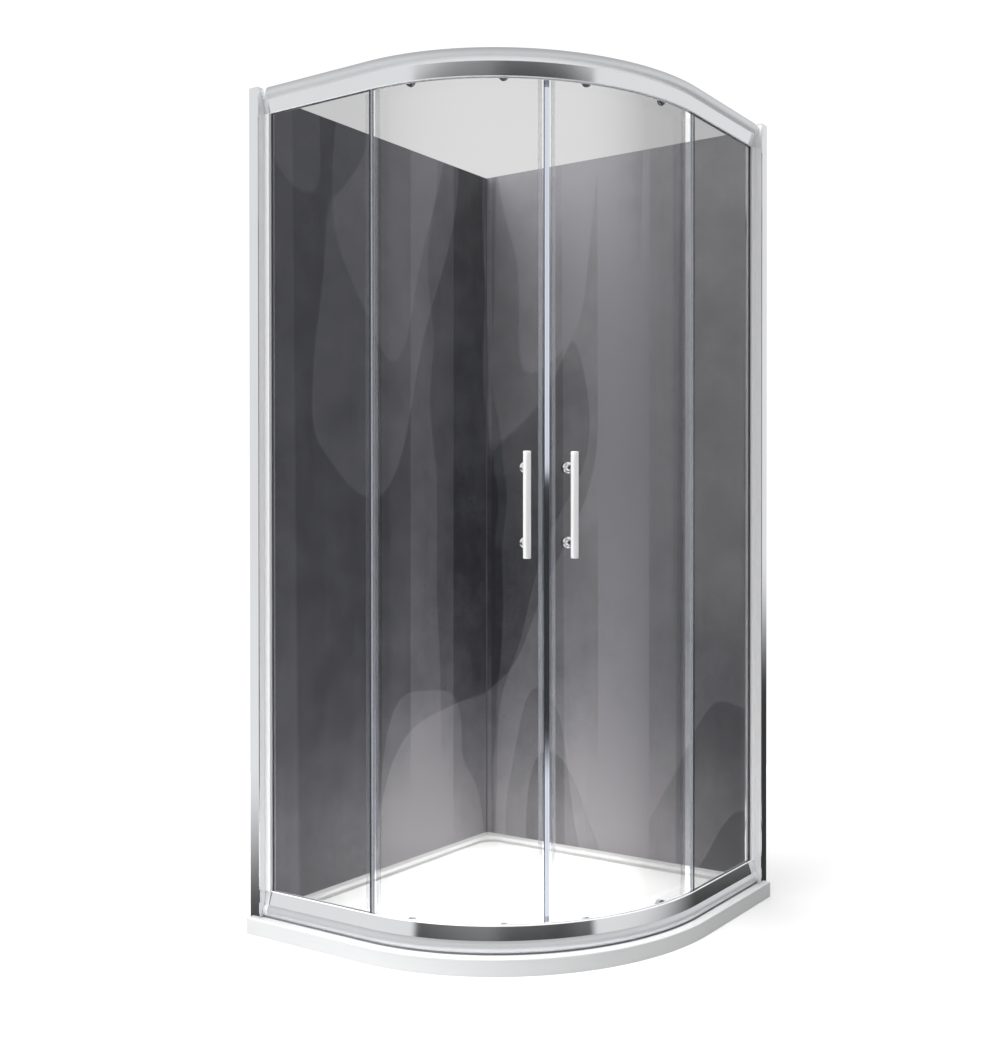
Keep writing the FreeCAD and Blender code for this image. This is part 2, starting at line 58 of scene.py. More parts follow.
SHARP = radians(32)
CREASE = radians(14)
CORNER = radians(40)
TOUCH = 1e-6
HAIR = 1e-7
BEND_STEPS = 60
BEAD_STEPS = 14
UP = Vector((0, 0, 1))
OTHER_SIDE = Matrix(((0, -1, 0, 0), (-1, 0, 0, 0), (0, 0, 1, 0), (0, 0, 0, 1)))
SIDES = {"left": Matrix(), "right": OTHER_SIDE}


# Shader sums in plain Python


class Shade:
    """One output of a node, which takes part in sums."""

    def __init__(self, tree, socket):
        self.tree = tree
        self.socket = socket

    def sum(self, operation, first, second):
        return self.tree.node("ShaderNodeMath", {"operation": operation}, {0: first, 1: second})

    def __add__(self, other):
        return self.sum("ADD", self, other)

    def __radd__(self, other):
        return self.sum("ADD", other, self)

    def __sub__(self, other):
        return self.sum("SUBTRACT", self, other)

    def __rsub__(self, other):
        return self.sum("SUBTRACT", other, self)

    def __mul__(self, other):
        return self.sum("MULTIPLY", self, other)

    def __rmul__(self, other):
        return self.sum("MULTIPLY", other, self)

    def __abs__(self):
        return self.sum("ABSOLUTE", self, 0.0)

    def band(self, low, high):
        """0 below low, 1 above high and a soft step between them."""
        return self.tree.node(
            "ShaderNodeMapRange",
            {"interpolation_type": "SMOOTHSTEP"},
            {"Value": self, "From Min": low, "From Max": high},
        )

    def top(self, other):
        return self.sum("MAXIMUM", self, other)

    def least(self, other):
        return self.sum("MINIMUM", self, other)

    def power(self, exponent):
        return self.sum("POWER", self, exponent)


class Tree:
    """A node tree that is filled by one method."""

    def __init__(self, tree):
        self.tree = tree

    def node(self, kind, settings, inputs, output=0):
        made = self.tree.nodes.new(kind)
        for name, value in settings.items():
            if name == "stops":
                self.fill(made.color_ramp, value)
            else:
                setattr(made, name, value)
        for name, value in inputs.items():
            self.feed(made.inputs[name], value)
        return Shade(self, made.outputs[output])

    def fill(self, ramp, stops):
        """Sets a ramp's stops, each a place and a colour."""
        while len(ramp.elements) < len(stops):
            ramp.elements.new(1.0)
        for element, (place, colour) in zip(ramp.elements, stops):
            element.position = place
            element.color = (*colour, 1.0)

    def feed(self, socket, value):
        if isinstance(value, Shade):
            self.tree.links.new(value.socket, socket)
        else:
            socket.default_value = value

    def mix(self, factor, first, second):
        """A colour between two, or between two that vary."""
        colours = [c if isinstance(c, Shade) else (*c, 1.0) for c in (first, second)]
        return self.node(
            "ShaderNodeMix", {"data_type": "RGBA"}, {0: factor, 6: colours[0], 7: colours[1]}, 2
        )

    def place(self):
        """Object coordinates, in metres."""
        return self.node("ShaderNodeTexCoord", {}, {}, 3)

    def parts(self, vector):
        """The three numbers of a vector."""
        split = self.node("ShaderNodeSeparateXYZ", {}, {0: vector})
        return [Shade(self, socket) for socket in split.socket.node.outputs]

    def stretched(self, vector, scale):
        return self.node("ShaderNodeMapping", {}, {"Vector": vector, "Scale": scale})

    def noise(self, vector, scale, detail=3.0, roughness=0.5, distortion=0.0):
        inputs = {"Vector": vector, "Scale": scale, "Detail": detail}
        inputs.update({"Roughness": roughness, "Distortion": distortion})
        return self.node("ShaderNodeTexNoise", {}, inputs)

    def pores(self, vector, scale):
        """Distance to the nearest of many scattered points."""
        return self.node("ShaderNodeTexVoronoi", {}, {"Vector": vector, "Scale": scale})


class Finish(Tree):
    """A material with one main shader."""

    def __init__(self, name):
        self.material = bpy.data.materials.new(name)
        self.material.use_nodes = True
        super().__init__(self.material.node_tree)
        self.shader = self.tree.nodes["Principled BSDF"]

    def set(self, **values):
        for name, value in values.items():
            socket = self.shader.inputs[name.replace("_", " ")]
            if socket.type == "RGBA" and not isinstance(value, Shade):
                value = (*value, 1.0)
            self.feed(socket, value)

    def bump(self, height, strength, distance):
        inputs = {"Height": height, "Strength": strength, "Distance": distance}
        self.feed(self.shader.inputs["Normal"], self.node("ShaderNodeBump", {}, inputs))


def dress(finish, *names):
    """Gives CAD nodes a finish in their material slots."""
    for name in names:
        for slot in NODES[name].material_slots:
            slot.material = finish.material


def both(*names):
    """The left and right names of like pieces."""
    return [side + "_" + name for side in SIDES for name in names]


def dimmed(colour, share):
    """A colour at a share of its strength."""
    return [share * part for part in colour]


# Sizes and colours that a user would change


def length(name, default, description):
    """A size in metres."""
    return bpy.props.FloatProperty(
        name=name, description=description, default=default,
        subtype="DISTANCE", unit="LENGTH", precision=4,
    )


def angle(name, default, description):
    """An angle, given in degrees."""
    return bpy.props.FloatProperty(
        name=name, description=description, default=radians(default), subtype="ANGLE",
    )


def number(name, default, description):
    """A plain number."""
    return bpy.props.FloatProperty(name=name, description=description, default=default)


def colour(name, default, description):
    """A colour of red, green and blue."""
    return bpy.props.FloatVectorProperty(
        name=name, description=description, default=default, subtype="COLOR",
    )


class CabinSizes(bpy.types.PropertyGroup):
    """Sizes of the pieces that are made here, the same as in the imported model."""

    half: length("Half side", 0.450, "Half of the tray's side")
    bend: length("Bend", 0.550, "Radius of the tray's bowed front")
    rail_start: length("Rail start", 0.044, "From the tray's side to the rail's end")
    bead_front: length("Bead front", 0.020, "From the tray's edge to the bead")
    bead_corner: length("Bead corner", 0.026, "From the tray's edge to the bead's corners")
    bead_height: length("Bead height", 0.028, "Height of the rounded bead")
    band_end: length("Band end", 0.031, "From the tray's edge to the top of the leaning band")
    lip_chamfer: length("Lip chamfer", 0.0012, "Chamfer at the lip of the band")
    pocket: length("Pocket", 0.0335, "From the tray's edge to the pane's pocket")
    pocket_width: length("Pocket width", 0.006, "Width of the pane's pocket")
    rail_back: length("Rail back", 0.049, "From the tray's edge to the rail's back")
    rail_wall: length("Rail wall", 0.002, "Wall of the rail")
    track_level: length("Track", 0.021, "Height of the wheels' track in the rail")
    plate_level: length("Plate", 0.045, "Height of the plate above the wheels")
    rail_height: length("Rail height", 0.059, "Height of a rail")
    door_outer: length("Door", 0.489, "Radius of the doors' outer face")
    pane: length("Pane", 0.005, "Thickness of the panes")
    post_width: length("Post width", 0.038, "Width of a wall post's channel")
    handle_length: length("Handle length", 0.225, "Length of a handle's bar")
    handle_radius: length("Handle radius", 0.0085, "Radius of a handle's bar")
    handle_reach: length("Handle reach", 0.050, "From the pane to the bar's middle")
    handle_height: length("Handle height", 0.982, "Height of the handles' middle")
    handle_spacing: length("Handle spacing", 0.160, "Between the posts of a handle")
    handle_post: length("Handle post", 0.0055, "Radius of a handle's post")
    rosette: length("Rosette", 0.0125, "Radius of a handle's rosette")
    rosette_height: length("Rosette height", 0.003, "Height of a handle's rosette")
    handle_stud: length("Handle stud", 0.004, "Radius of the stud through the pane")
    cap_height: length("Roller cap", 0.042, "Height of an upper roller's inner plate")
    cap_width: length("Roller cap width", 0.022, "Width of an upper roller's inner plate")
    cap_depth: length("Roller cap depth", 0.006, "Depth of an upper roller's inner plate")
    dial: length("Dial", 0.007, "Radius of the adjusting dial")
    pad_gap: length("Pad", 0.00045, "Gap between a pane and what sits on it")
    guide_depth: length("Guide depth", 0.011, "Depth of a lower roller's inner body")
    button: length("Button", 0.005, "Radius of a release button")
    button_rise: length("Button rise", 0.010, "From a lower roller's axle up to its button")
    button_proud: length("Button proud", 0.004, "How far a button stands out")
    button_grip: length("Button grip", 0.003, "How far a button reaches into its body")
    wheel: length("Wheel", 0.011, "Radius of a roller's wheel")
    wheel_width: length("Wheel width", 0.006, "Width of a roller's wheel")
    wheel_inset: length("Wheel inset", 0.0447, "From the tray's edge to a wheel's inner face")
    axle: length("Axle", 0.0025, "Radius of a wheel's axle")
    screw: length("Screw head", 0.004, "Radius of a bracket screw's head")
    sealant: length("Sealant", 0.005, "Width of the sealant beads")
    handle_angle: angle("Handle angle", 39.6, "Place of a handle round the bend")
    rear_roller: angle("Rear roller", 9.4, "Place of the rear rollers round the bend")
    front_roller: angle("Front roller", 34.2, "Place of the front rollers round the bend")


class CabinColours(bpy.types.PropertyGroup):
    """Colours of the finishes."""

    tray: colour("Tray", (0.84, 0.84, 0.83), "Gloss acrylic of the basin")
    # Painted shade: this grey stands in for shade on the tray's outer edge, which is white acrylic like
    # the basin.
    apron_painted_shade: colour("Apron", (0.57, 0.575, 0.58), "Tray's outer edge")
    metal: colour("Bright metal", (0.88, 0.89, 0.91), "Rails and posts")
    glass: colour("Glass", (0.025, 0.026, 0.036), "Tint of the panes")
    vinyl: colour("Clear strips", (0.80, 0.84, 0.92), "Soft vinyl strips")
    board_dark: colour("Board, dark", (0.050, 0.050, 0.051), "Darkest tone of the panels")
    board_mid: colour("Board, middle", (0.19, 0.19, 0.195), "Middle tone of the panels")
    board_pale: colour("Board, pale", (0.46, 0.45, 0.46), "Palest tone of the panels")
    handle: colour("Handles", (0.97, 0.97, 0.98), "Satin bars and glass profiles")


class CabinStudio(bpy.types.PropertyGroup):
    """The camera and the light round the cabin."""

    azimuth: angle("Azimuth", 32.3, "The way that the camera looks, from +Y")
    pitch: angle("Pitch", 0.4, "How far the camera looks down")
    distance: length("Distance", 2.993, "From the cabin's middle")
    aside: length("Aside", 0.180, "Camera's shift to its right")
    height: length("Height", 0.958, "Camera's height")
    lens: number("Lens", 42.69, "Focal length in millimetres")
    shift: number("Shift", -0.0890, "Sideways shift of the frame")
    floor_radius: length("Floor", 2.0, "Radius of the pale floor")
    dome: number("Dome", 0.58, "Strength of the dome's light")
    gleam: number("Gleam", 0.95, "Strength of the dome in bright metal")
    dark: number("Dark side", 0.04, "The room below the dome")
    overhead: number("Overhead", 4.0, "Strength of the light from above")
    overhead_spread: angle("Overhead spread", 24.0, "Spread of the light from above")
    front: number("Front", 3.1, "Strength of the light from the front")
    front_spread: angle("Front spread", 60.0, "Spread of the light from the front")
    front_aside: angle("Front aside", -66.0, "Turn of the front light from the camera's way")
    front_tilt: angle("Front tilt", 58.0, "Tilt of the front light from straight down")
    basin: number("Basin", 5.6, "Power of the soft box over the basin")
    box_width: length("Box width", 1.1, "Width of the soft box")
    box_height: length("Box height", 2.15, "Height of the soft box")
    box_spread: angle("Box spread", 10.0, "Spread of the soft box's grid")


def sizes():
    return bpy.context.scene.cabin_sizes


def colours():
    return bpy.context.scene.cabin_colours


def studio():
    return bpy.context.scene.cabin_studio


# Shaping


def chain(bm, points):
    """Vertices joined by edges, in order."""
    verts = [bm.verts.new(point) for point in points]
    for first, second in zip(verts, verts[1:]):
        bm.edges.new((first, second))
    return verts


def lathe(profile, steps):
    """A solid turned about Z from (radius, height) points: a loop, or a line that ends on the axis."""
    bm = bmesh.new()
    chain(bm, [(radius, 0, height) for radius, height in profile])
    geometry = bm.verts[:] + bm.edges[:]
    bmesh.ops.spin(bm, geom=geometry, cent=(0, 0, 0), axis=UP, angle=2 * pi, steps=steps, use_merge=True)
    bmesh.ops.remove_doubles(bm, verts=bm.verts, dist=TOUCH)
    bmesh.ops.recalc_face_normals(bm, faces=bm.faces)
    return bm


def soften(bm, width):
    """Rounds every edge that turns like a corner."""
    edges = [edge for edge in bm.edges if edge.is_manifold and edge.calc_face_angle() > CORNER]
    rounded(bm, edges, width, 2, clamp=True)


def rounded(bm, geometry, width, segments, affect="EDGES", clamp=False):
    """Rounds edges or corners."""
    bmesh.ops.bevel(
        bm, geom=geometry, offset=width, offset_type="OFFSET", segments=segments, profile=0.5,
        affect=affect, clamp_overlap=clamp, material=-1,
    )


def rim_edges(bm, level, reach):
    """Edges round the end faces at a height above or below zero, beyond a reach from the axis."""

    def on_rim(vert):
        return abs(abs(vert.co.z) - level) < TOUCH and vert.co.xy.length > reach

    return [edge for edge in bm.edges if all(on_rim(vert) for vert in edge.verts)]


def picked(items, kind):
    """Those of an operator's results that are of one kind."""
    return [item for item in items if isinstance(item, kind)]


def drawn_out(bm, faces, vector):
    """Draws faces out along a vector and returns the new ones."""
    made = bmesh.ops.extrude_face_region(bm, geom=faces)["geom"]
    bmesh.ops.translate(bm, vec=vector, verts=picked(made, BMVert))
    return picked(made, BMFace)


def cleared(bm, faces):
    """Takes out faces that were left inside a shape when they were drawn out."""
    left = [face for face in faces if face.is_valid]
    bmesh.ops.delete(bm, geom=left, context="FACES")


def pressed(bm, level, wanted, depth):
    """Presses down the part of a top face that a test of its middle picks."""
    faces = []
    for face in bm.faces:
        middle = face.calc_center_median()
        if abs(middle.z - level) < TOUCH and wanted(middle):
            faces.append(face)
    drawn_out(bm, faces, (0, 0, -depth))
    cleared(bm, faces)


def sliced(bm, *cuts):
    """Divides a shape along planes, each given by its normal and distance."""
    for normal, distance in cuts:
        spot = Vector(normal) * distance
        geometry = bm.verts[:] + bm.edges[:] + bm.faces[:]
        bmesh.ops.bisect_plane(bm, geom=geometry, plane_co=spot, plane_no=normal, dist=HAIR)


def moved(bm, matrix):
    """Moves a whole shape."""
    bmesh.ops.transform(bm, matrix=matrix, verts=bm.verts)
    return bm


def joined(shapes):
    """Several shapes in one mesh."""
    whole = bmesh.new()
    for bm in shapes:
        mesh = bpy.data.meshes.new("share")
        bm.to_mesh(mesh)
        bm.free()
        whole.from_mesh(mesh)
        bpy.data.meshes.remove(mesh)
    return whole


def bend_centre():
    """The middle of the front's bend, on the floor."""
    size = sizes()
    return Vector((size.half - size.bend, size.bend - size.half, 0))


def on_door(place, height):
    """From an axis along Z, measured from the bend's centre, to a radial place on the left door."""
    turn = Matrix.Rotation(place - pi / 2, 4, "Z") @ Matrix.Rotation(pi / 2, 4, "Y")
    return Matrix.Translation(bend_centre() + UP * height) @ turn


def settle(bm, name, finish, body, slot, *nodes, sharp=SHARP):
    """Makes a finished object of a shape, on its body and in place of its nodes."""
    bmesh.ops.recalc_face_normals(bm, faces=bm.faces)
    for face in bm.faces:
        face.smooth = True
    for edge in bm.edges:
        if edge.is_manifold:
            edge.smooth = edge.calc_face_angle() < sharp
    mesh = bpy.data.meshes.new(name)
    bm.to_mesh(mesh)
    bm.free()
    mesh.materials.append(finish.material)
    made = bpy.data.objects.new(name, mesh)
    bpy.context.scene.collection.objects.link(made)
    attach(made, body)
    if nodes:
        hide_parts(*nodes)


# Finishes


def drawn_metal(finish, place, colour):
    """The tone of drawn metal, and how far its faint lines and handling marks dull it."""
    lines = finish.noise(finish.stretched(place, (70.0, 70.0, 5.0)), 12.0, 4.0)
    marks = finish.noise(place, 6.0, 3.0)
    return finish.mix(marks, colour, dimmed(colour, 0.95)), lines * 0.05 + marks * 0.03


def bright_metal(name, colour, roughness):
    """Polished metal."""
    finish = Finish(name)
    tone, wear = drawn_metal(finish, finish.place(), colour)
    finish.set(Base_Color=tone, Metallic=1.0, Roughness=roughness + wear)
    return finish


def rail_metal(name, colour, base, top):
    """A polished band between a satin bead and a dull lip, on a rail at the base and one at the top."""
    finish = Finish(name)
    place = finish.place()
    x, y, z = finish.parts(place)
    size = sizes()
    edge = 0.0004
    bead_end = size.bead_height
    lip_start = size.rail_height - size.lip_chamfer - edge
    rise = (z - base).least(top - z)
    bead = 1 - rise.band(bead_end - edge, bead_end + edge)
    inside = edge_distance(x, y).band(size.band_end + edge / 2, size.band_end + edge)
    lip = rise.band(lip_start - edge, lip_start).top(inside)
    tone, wear = drawn_metal(finish, place, colour)
    finish.set(
        Base_Color=tone,
        Metallic=1 - lip * 0.8,
        Roughness=0.05 + bead * 0.42 + lip * 0.35 + wear,
    )
    return finish


def satin_metal(name, colour, metallic):
    """Brushed and lacquered metal, pale from every side."""
    finish = Finish(name)
    place = finish.place()
    lines = finish.noise(finish.stretched(place, (900.0, 900.0, 30.0)), 1.0, 3.0)
    tone = finish.mix(lines, colour, dimmed(colour, 0.92))
    finish.set(Base_Color=tone, Metallic=metallic, Roughness=0.18 + lines * 0.1, IOR=1.5)
    finish.bump(lines, 0.05, 0.0001)
    return finish


def clear_glass(name, colour):
    """Clear toughened glass with a faint cloudy haze; the right panes are made more opaque, so darker, as
    painted shade.
    """
    finish = Finish(name)
    place = finish.place()
    x, y, _ = finish.parts(place)
    # Painted shade: the right panes are made darker than the left.
    right_pane_shade = (x + y).band(0.10, 0.50)
    haze_and_painted_shade = finish.noise(place, 2.4, 4.0) * 0.03 + right_pane_shade * 0.085
    glance = finish.node("ShaderNodeLayerWeight", {}, {"Blend": 0.5}, 1).power(2.0).least(0.10)
    finish.set(Base_Color=colour, Roughness=0.02, IOR=1.5, Alpha=0.172 + haze_and_painted_shade + glance)
    return finish


def clear_vinyl(name, colour, alpha):
    """Clear soft vinyl."""
    finish = Finish(name)
    cloud = finish.noise(finish.stretched(finish.place(), (1.0, 1.0, 0.05)), 60.0, 2.0)
    finish.set(Base_Color=colour, Roughness=0.18, IOR=1.5, Alpha=alpha + cloud * 0.02)
    return finish


def lap_vinyl(name, colour):
    """A clear clip with a smoky heel, where it grips the fixed pane, and a pale nose."""
    finish = Finish(name)
    x, y, _ = finish.parts(finish.place())
    heel_end = -0.0967
    soft = 0.0005
    nose = x.least(0 - y).band(heel_end - soft, heel_end + soft)
    finish.set(
        Base_Color=finish.mix(nose, (0.02, 0.02, 0.03), colour),
        Roughness=0.15,
        IOR=1.5,
        Alpha=0.75 - nose * 0.53,
    )
    return finish


def magnet_vinyl(name, colour):
    """A clear clip with a bright magnet band in its nose."""
    finish = Finish(name)
    x, y, _ = finish.parts(finish.place())
    away = abs(x + y)
    core_edge = (0.0066, 0.0080)
    grip_edge = (0.0130, 0.0150)
    core = 1 - away.band(*core_edge)
    clip = finish.mix(away.band(*grip_edge), (0.10, 0.12, 0.16), colour)
    finish.set(
        Base_Color=finish.mix(core, clip, (0.80, 0.84, 0.95)),
        Metallic=core,
        Roughness=0.14 - core * 0.09,
        IOR=1.5,
        Alpha=0.12 + core * 0.88,
    )
    return finish


def plastic(name, colour, roughness):
    """Moulded plastic with a fine grain."""
    finish = Finish(name)
    place = finish.place()
    grain = finish.noise(place, 900.0, 2.0)
    cloud = finish.noise(place, 25.0, 2.0)
    tone = finish.mix(cloud, colour, dimmed(colour, 0.88))
    finish.set(Base_Color=tone, Roughness=roughness + grain * 0.1, IOR=1.49)
    finish.bump(grain, 0.05, 0.0002)
    return finish


def edge_distance(x, y):
    """How far a place is from the edge of the tray's plan."""
    size = sizes()
    across = (x - bend_centre().x).top(0.0)
    along = (bend_centre().y - y).top(0.0)
    front = size.bend - (across * across + along * along).power(0.5)
    return front.least((size.half + x).least(size.half - y))


def gloss_acrylic(name, colour, apron_painted_shade):
    """White acrylic; its outer edge and the rim on top of it are painted greyer than the basin, as painted
    shade.
    """
    finish = Finish(name)
    place = finish.place()
    size = sizes()
    x, y, _ = finish.parts(place)
    inset = edge_distance(x, y)
    ripple = finish.noise(place, 14.0, 2.0)
    cloud = finish.noise(place, 3.0, 2.0)
    clean = finish.mix(cloud, colour, dimmed(colour, 0.97))
    edge_round = (0.0005, 0.004)
    # Painted shade: grey on the outer edge and greyer still on the rim, where the basin is white.
    rim = finish.mix(inset.band(*edge_round), apron_painted_shade, dimmed(apron_painted_shade, 0.88))
    tone = finish.mix(inset.band(size.bead_front, size.bead_corner), rim, clean)
    finish.set(Base_Color=tone, Roughness=0.22 + ripple * 0.06, IOR=1.49)
    finish.set(Specular_IOR_Level=0.2, Coat_Weight=0.05)
    finish.bump(ripple, 0.03, 0.0005)
    return finish


def stone_board(name, dark, mid, pale):
    """A cast-concrete look: planks, clouds, runs and pores, with painted light and shade: broad lighter
    patches, drawn as trowelled areas, that stand in for light and reflections on the panels; the right
    panel lighter; a painted light patch high on it; painted shade near the corner and low at the right
    panel's far end; and painted bounce light, lighter and warmer, at the foot.
    """
    finish = Finish(name)
    place = finish.place()
    x, y, z = finish.parts(place)
    around = x + y
    warp = finish.noise(place, 1.3, 2.0) - 0.5
    planks = finish.noise(finish.stretched(place, (3.4, 3.4, 0.02)), 1.0, 1.0, 0.3)
    # Painted light: the broad lighter patches of this noise and the next stand in for light and
    # reflections on the panels, drawn as areas of the print.
    painted_light_patches = finish.noise(finish.stretched(place, (1.0, 1.0, 0.42)), 2.3, 0.0, 0.4, 0.4)
    second = finish.noise(finish.stretched(place, (1.7, 1.7, 0.55)), 1.5, 0.0, 0.4, 0.7)
    cloud = finish.noise(place, 6.0, 8.0, 0.66)
    runs = finish.noise(finish.stretched(place, (30.0, 30.0, 0.9)), 1.5, 4.0, 0.6)
    fine = finish.noise(place, 190.0, 3.0, 0.6)
    pit = (1 - finish.pores(place, 18.0).band(0.05, 0.10)) * cloud.band(0.48, 0.60)
    bent = around + warp * 0.22
    # Painted light: the right panel is made lighter than the left, as if light falls on that side.
    right = bent.band(-0.01, 0.01)
    # Painted shade: darker in a band near the panels' inner corner.
    corner = (1 - abs(bent + 0.10).band(0.13, 0.14)) * 0.18
    # Painted light: a light patch high on the right panel.
    painted_light_high = right * (1 - bent.band(0.34, 0.62)) * z.band(0.4, 1.6) * 0.30
    # Painted shade: darker low down at the right panel's far end.
    painted_shade_low = bent.band(0.45, 0.80) * (1 - z.band(0.3, 1.3)) * 0.20
    # Painted bounce light: lighter towards the panels' foot.
    foot = (1 - z.band(0.04, 0.60)) * 0.34
    tone = 0.30 + right * 0.08 + painted_light_high + foot - corner - painted_shade_low
    tone = tone + planks.band(0.52, 0.526) * 0.21 - (1 - planks.band(0.40, 0.406)) * 0.18
    # Painted light and reflection patches, added as broad lighter areas of the print.
    tone = tone + painted_light_patches.band(0.50, 0.506) * 0.23 + second.band(0.54, 0.545) * 0.19
    tone = tone + (cloud - 0.5) * 0.62 + (runs - 0.5) * 0.09 + (fine - 0.5) * 0.20 - pit * 0.16
    shade = finish.node(
        "ShaderNodeValToRGB", {"stops": [(0.05, dark), (0.42, mid), (1.0, pale)]}, {0: tone}
    )
    # Painted bounce light: a warmer tint towards the foot, cooler above.
    painted_bounce_tint = finish.mix((1 - z.band(0.05, 0.6)) * 0.35, (0.97, 0.97, 1.0), (1.0, 0.94, 0.92))
    multiply = {"data_type": "RGBA", "blend_type": "MULTIPLY"}
    tinted = finish.node("ShaderNodeMix", multiply, {0: 1.0, 6: shade, 7: painted_bounce_tint}, 2)
    finish.set(Base_Color=tinted, Roughness=0.45 + cloud * 0.2, IOR=1.45)
    finish.bump(fine * 0.4 + cloud - pit * 0.6, 0.12, 0.001)
    return finish


def rubber(name, colour):
    """Dull soft rubber."""
    finish = Finish(name)
    grain = finish.noise(finish.place(), 700.0, 3.0)
    tone = finish.mix(grain, colour, dimmed(colour, 0.75))
    finish.set(Base_Color=tone, Roughness=0.6 + grain * 0.15)
    finish.bump(grain, 0.1, 0.0002)
    return finish


# One operator for each group of pieces


class CABIN_OT_tray(bpy.types.Operator):
    """Finishes the tray and its drain"""

    bl_idname = "cabin.tray"
    bl_label = "Tray"

    def execute(self, context):
        dress(gloss_acrylic("tray_acrylic", colours().tray, colours().apron_painted_shade), "shower_tray")
        dress(bright_metal("drain_chrome", colours().metal, 0.08), "drain_cover")
        return {"FINISHED"}


class CABIN_OT_panels(bpy.types.Operator):
    """Finishes the back panels and their trim"""

    bl_idname = "cabin.panels"
    bl_label = "Back panels"

    def execute(self, context):
        shades = colours()
        board = stone_board("board_concrete", shades.board_dark, shades.board_mid, shades.board_pale)
        dress(board, "back_panel_left", "back_panel_right")
        dress(rubber("panel_seal", (0.5, 0.5, 0.5)), "panel_base_seals")
        dress(bright_metal("corner_metal", shades.metal, 0.2), "rear_corner_angle")
        return {"FINISHED"}


class CABIN_OT_sealant(bpy.types.Operator):
    """Runs the beads of sealant at the panels' feet and up their corner, and a dark bead under the lower
    rail that is partly sealant and partly painted shade
    """

    bl_idname = "cabin.sealant"
    bl_label = "Sealant"

    def execute(self, context):
        white = plastic("sealant_white", (0.88, 0.88, 0.87), 0.32)
        settle(sealant_beads(), "panel_sealant", white, "frame", "gasket")
        grey = plastic("sealant_grey", (0.15, 0.15, 0.16), 0.4)
        # The dark bead under the lower rail is partly sealant and partly painted shade for the gap under
        # the rail's bead.
        settle(rail_sealant_shade(), "rail_sealant_shade", grey, "frame", "gasket")
        settle(corner_bead(), "corner_sealant", grey, "frame", "gasket")
        return {"FINISHED"}


def sealant_beads():
    """Two hollow-faced beads, one along each panel's foot."""
    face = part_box("back_panel_left")[1].x
    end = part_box("left_wall_post")[1].y
    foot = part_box("panel_base_seals")[0].z
    width = sizes().sealant
    corner = Vector((face, -face, foot))
    along = Vector((0, end + face, 0))
    base = bead(corner, Vector((width, 0, 0)), Vector((0, 0, 2 * width)), along)
    other = moved(base.copy(), OTHER_SIDE)
    return joined([base, other])


def corner_bead():
    """A hollow-faced bead up the corner of the panels."""
    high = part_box("back_panel_left")[1]
    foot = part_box("back_panel_left")[0].z
    width = sizes().sealant / 2
    corner = Vector((high.x, -high.x, foot))
    return bead(corner, Vector((width, 0, 0)), Vector((0, -width, 0)), Vector((0, 0, high.z - foot)))


def bead(corner, out, up, along):
    """A strip in an inner corner, its face hollowed by a sagging line."""
    bm = bmesh.new()
    sag = 0.30
    hollow = 0.45
    middle = corner + (out + up) * sag
    verts = [bm.verts.new(point) for point in (corner, corner + out, middle, corner + up)]
    bm.faces.new(verts)
    rounded(bm, [verts[2]], out.length * hollow, 4, "VERTICES")
    drawn_out(bm, bm.faces[:], along)
    return bm


def rail_sealant_shade():
    """A fine dark bead under the bottom rail's outer foot: partly a sealant line, partly painted shade for
    the shadow gap under the bead.
    """
    size = sizes()
    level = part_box("bottom_rail")[0].z
    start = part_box("left_bottom_rail_bracket")[0].x
    bm = bmesh.new()
    foot = size.bead_front + 0.001
    crown = size.bead_front + 0.0034
    height = 0.003
    outline = ((size.bead_corner, 0), (foot, 0), (crown, height))
    verts = [bm.verts.new((start, inset - size.half, level + rise)) for inset, rise in outline]
    front_run(bm, bm.faces.new(verts), start)
    return bm


class CABIN_OT_rails(bpy.types.Operator):
    """Makes the bent rails with a smooth bead and band"""

    bl_idname = "cabin.rails"
    bl_label = "Rails"

    def execute(self, context):
        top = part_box("top_rail")[1].z
        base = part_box("bottom_rail")[0].z
        finish = rail_metal("rail_metal", colours().metal, base, top)
        for name, level, upward in (("top_rail", top, -1), ("bottom_rail", base, 1)):
            settle(bent_rail(level, upward), name + "_bent", finish, "frame", "rail", name, sharp=CREASE)
        moulded = satin_metal("bracket_satin", colours().metal, 0.35)
        dress(moulded, *both("top_rail_bracket", "bottom_rail_bracket"))
        return {"FINISHED"}


def bent_rail(level, upward):
    """A rail drawn as one section: straight, round the bend and straight again."""
    size = sizes()
    start = size.rail_start - size.half

    def at(inset, height):
        return Vector((start, inset - size.half, level + upward * height))

    bm = bmesh.new()
    swell = size.bead_corner - size.bead_front
    middle = size.bead_height / 2
    radius = (middle ** 2 + swell ** 2) / (2 * swell)
    foot = chain(bm, [at(size.rail_back, 0), at(size.bead_corner, 0)])[1]
    bmesh.ops.spin(
        bm, geom=[foot], cent=at(size.bead_front + radius, middle), axis=(1, 0, 0),
        angle=-2 * upward * asin(middle / radius), steps=BEAD_STEPS,
    )
    pocket_end = size.pocket + size.pocket_width
    pocket_level = size.plate_level + size.rail_wall
    lip = size.rail_height - size.lip_chamfer
    chain(bm, [
        at(size.bead_corner, size.bead_height), at(size.band_end, lip),
        at(size.band_end + size.lip_chamfer / 2, size.rail_height), at(size.pocket, size.rail_height),
        at(size.pocket, pocket_level), at(pocket_end, pocket_level), at(pocket_end, size.rail_height),
        at(pocket_end + size.rail_wall, size.rail_height), at(pocket_end + size.rail_wall, pocket_level),
        at(size.rail_back, pocket_level), at(size.rail_back, size.plate_level),
        at(size.pocket, size.plate_level), at(size.pocket, size.track_level),
        at(size.rail_back, size.track_level), at(size.rail_back, 0),
    ])
    bmesh.ops.remove_doubles(bm, verts=bm.verts, dist=TOUCH)
    section = bmesh.ops.contextual_create(bm, geom=bm.edges[:])["faces"][0]
    front_run(bm, section, start)
    return bm


